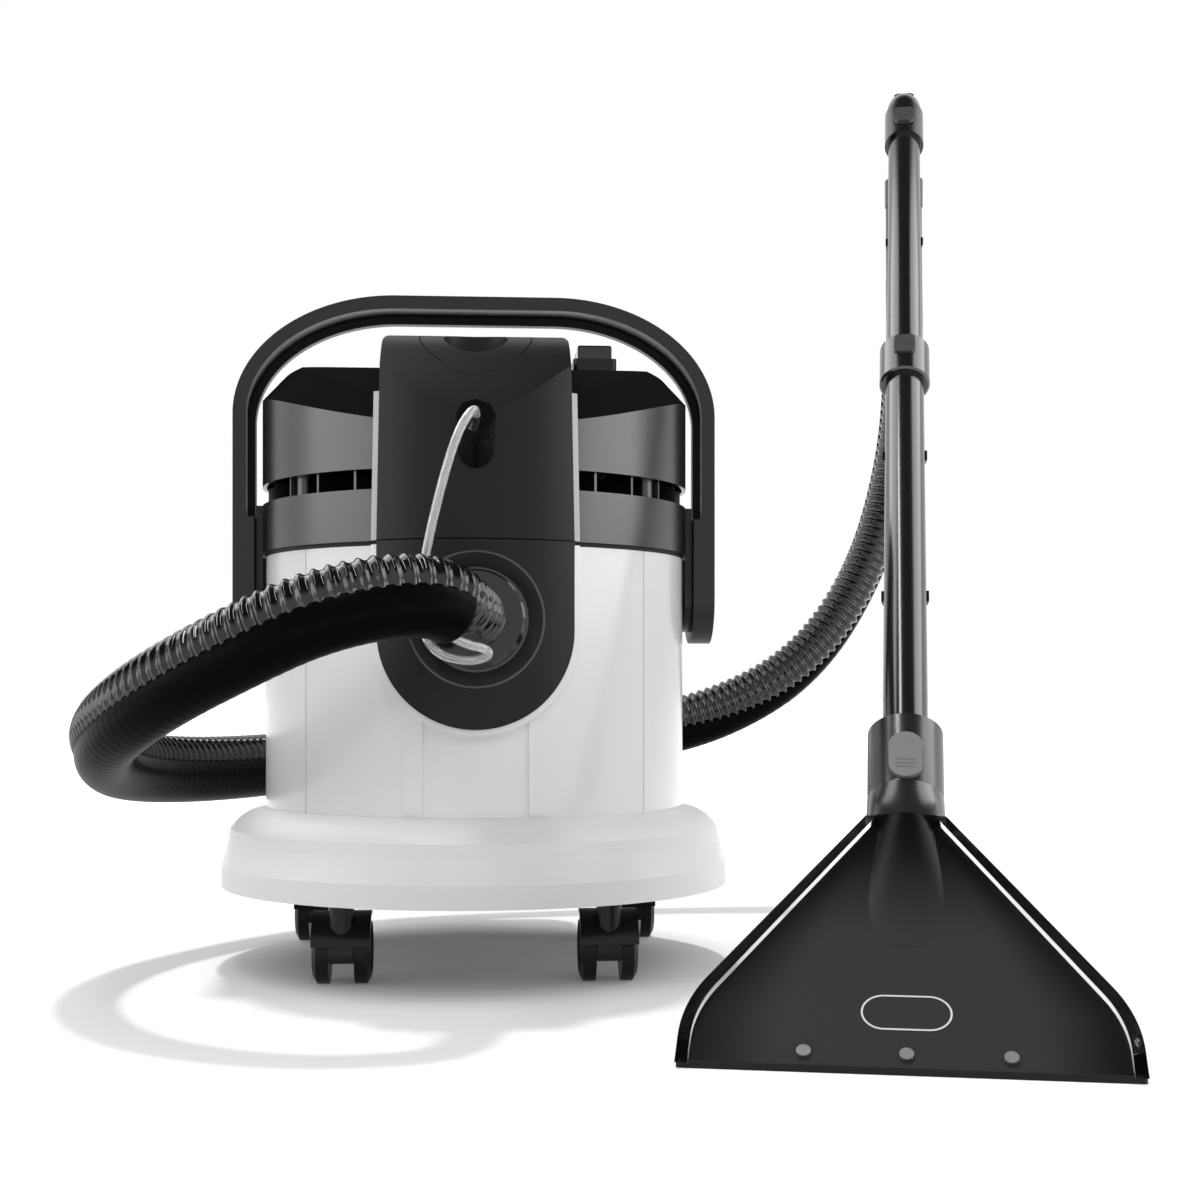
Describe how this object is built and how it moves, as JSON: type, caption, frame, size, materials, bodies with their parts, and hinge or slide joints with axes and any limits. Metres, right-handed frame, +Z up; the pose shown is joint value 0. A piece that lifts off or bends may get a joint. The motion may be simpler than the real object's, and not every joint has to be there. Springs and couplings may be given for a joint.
{
  "type": "carpet cleaner",
  "caption": "Spray extraction carpet cleaner: white drum on swivel casters, dark motor head with bail handle, ribbed suction hose and floor wand with wide nozzle",
  "frame": {"origin": "on the floor, in the middle of the box round the machine and the wand, hose left out", "axes": "+Z up, -Y the machine's front with the hose port, +X to the wand's side"},
  "size_m": [0.7381, 0.8432, 0.7681],
  "materials": {
    "white_shell": "glossy moulded white",
    "dark_shell": "satin dark grey, fine texture",
    "grey_trim": "satin mid grey",
    "handle_grey": "satin dark grey",
    "black_gloss": "glossy black",
    "sleeve_black": "smooth black sheath",
    "caster_black": "black",
    "wheel_black": "black",
    "tube_dark": "satin dark grey",
    "hood_smoke": "smoky dark",
    "clear_plastic": "clear plastic",
    "seal_rubber": "black",
    "steel": "bright",
    "motor_metal": "plain",
    "inner_grey": "plain moulded",
    "filter_foam": "open foam"
  },
  "bodies": {
    "machine": {"base_tray": "white_shell", "container": "white_shell", "panel_lower": "dark_shell", "head_ring": "dark_shell", "head_housing": "dark_shell", "panel_upper": "dark_shell", "latch_cover": "dark_shell", "spray_socket": "dark_shell", "handle_brackets": "dark_shell", "cable_gland": "dark_shell", "panel_trims": "grey_trim", "switch_base": "grey_trim", "port_bezel": "black_gloss", "port_collar": "black_gloss", "spray_plug": "black_gloss", "hose": "black_gloss", "hose_sleeve": "sleeve_black", "lower_tube": "tube_dark", "upper_tube": "tube_dark", "mid_socket": "tube_dark", "wand_handle": "tube_dark", "nozzle_neck": "tube_dark", "pipe_clips": "tube_dark", "nozzle_cover": "hood_smoke", "nozzle_back": "hood_smoke", "nozzle_rim": "clear_plastic", "spray_tube": "clear_plastic", "head_seal": "seal_rubber", "nozzle_lip": "seal_rubber", "water_pipe": "seal_rubber", "pump_lines": "seal_rubber", "screws": "steel", "spray_jet": "steel", "motor": "motor_metal", "pump": "motor_metal", "fan_chamber": "inner_grey", "float_cage": "inner_grey", "fresh_tank": "inner_grey", "motor_filter": "filter_foam"},
    "handle": {"carry_handle": "handle_grey", "handle_caps": "handle_grey"},
    "caster_front_left": {"caster_fork_front_left": "caster_black"},
    "wheels_front_left": {"caster_wheels_front_left": "wheel_black"},
    "caster_front_right": {"caster_fork_front_right": "caster_black"},
    "wheels_front_right": {"caster_wheels_front_right": "wheel_black"},
    "caster_rear_left": {"caster_fork_rear_left": "caster_black"},
    "wheels_rear_left": {"caster_wheels_rear_left": "wheel_black"},
    "caster_rear_right": {"caster_fork_rear_right": "caster_black"},
    "wheels_rear_right": {"caster_wheels_rear_right": "wheel_black"},
    "suction_switch": {"suction_switch": "black_gloss"},
    "spray_switch": {"spray_switch": "black_gloss"},
    "tank_latch": {"tank_latch": "black_gloss"},
    "nozzle_latch": {"nozzle_latch": "grey_trim"},
    "mid_latch": {"mid_latch": "grey_trim"},
    "top_latch": {"top_latch": "grey_trim"},
    "spray_trigger": {"spray_trigger": "tube_dark"},
    "trigger_lock": {"trigger_lock": "grey_trim"},
    "impeller": {"impeller": "motor_metal"},
    "float_ball": {"float_ball": "inner_grey"}
  },
  "joints": [
    {"name": "handle_swing", "type": "hinge", "parent": "machine", "child": "handle", "pos_m": [-0.1238, 0.0505, 0.278], "axis": [-1, 0, 0], "range_deg": [0, 95]},
    {"name": "swivel_front_left", "type": "hinge", "parent": "machine", "child": "caster_front_left", "pos_m": [-0.21785, -0.07522, 0.07], "axis": [0, 0, 1], "continuous": true},
    {"name": "roll_front_left", "type": "hinge", "parent": "caster_front_left", "child": "wheels_front_left", "pos_m": [-0.21785, -0.06021, 0.024], "axis": [1, 0, 0], "continuous": true},
    {"name": "swivel_front_right", "type": "hinge", "parent": "machine", "child": "caster_front_right", "pos_m": [-0.02975, -0.07522, 0.07], "axis": [0, 0, 1], "continuous": true},
    {"name": "roll_front_right", "type": "hinge", "parent": "caster_front_right", "child": "wheels_front_right", "pos_m": [-0.02975, -0.06021, 0.024], "axis": [1, 0, 0], "continuous": true},
    {"name": "swivel_rear_left", "type": "hinge", "parent": "machine", "child": "caster_rear_left", "pos_m": [-0.25114, 0.14234, 0.07], "axis": [0, 0, 1], "continuous": true},
    {"name": "roll_rear_left", "type": "hinge", "parent": "caster_rear_left", "child": "wheels_rear_left", "pos_m": [-0.25114, 0.15734, 0.024], "axis": [1, 0, 0], "continuous": true},
    {"name": "swivel_rear_right", "type": "hinge", "parent": "machine", "child": "caster_rear_right", "pos_m": [0.00354, 0.14234, 0.07], "axis": [0, 0, 1], "continuous": true},
    {"name": "roll_rear_right", "type": "hinge", "parent": "caster_rear_right", "child": "wheels_rear_right", "pos_m": [0.00354, 0.15734, 0.024], "axis": [1, 0, 0], "continuous": true},
    {"name": "suction_switch_push", "type": "slide", "parent": "machine", "child": "suction_switch", "axis": [0, 0, -1], "range_m": [0, 0.0025]},
    {"name": "spray_switch_push", "type": "slide", "parent": "machine", "child": "spray_switch", "axis": [0, 0, -1], "range_m": [0, 0.0025]},
    {"name": "tank_latch_lift", "type": "hinge", "parent": "machine", "child": "tank_latch", "pos_m": [-0.1238, -0.0625, 0.446], "axis": [-1, 0, 0], "range_deg": [0, 20], "stiffness_Nm_per_rad": 0.2},
    {"name": "nozzle_latch_push", "type": "slide", "parent": "machine", "child": "nozzle_latch", "axis": [0.1817, 0.7533, -0.632], "range_m": [0, 0.002], "stiffness_N_per_m": 1500},
    {"name": "mid_latch_push", "type": "slide", "parent": "machine", "child": "mid_latch", "axis": [0.1817, 0.7533, -0.632], "range_m": [0, 0.0018], "stiffness_N_per_m": 1500},
    {"name": "top_latch_push", "type": "slide", "parent": "machine", "child": "top_latch", "axis": [0.1817, 0.7533, -0.632], "range_m": [0, 0.0018], "stiffness_N_per_m": 1500},
    {"name": "spray_trigger_squeeze", "type": "hinge", "parent": "machine", "child": "spray_trigger", "pos_m": [0.27871, 0.32031, 0.72379], "axis": [0.9721, -0.2345, 0], "range_deg": [0, 8], "stiffness_Nm_per_rad": 0.6},
    {"name": "trigger_lock_slide", "type": "slide", "parent": "machine", "child": "trigger_lock", "axis": [0.2345, 0.9721, 0], "range_m": [0, 0.01]},
    {"name": "impeller_spin", "type": "hinge", "parent": "machine", "child": "impeller", "pos_m": [-0.1238, 0.0505, 0.36], "axis": [0, 0, 1], "continuous": true},
    {"name": "float_rise", "type": "slide", "parent": "machine", "child": "float_ball", "axis": [0, 0, 1], "range_m": [0, 0.02]}
  ]
}
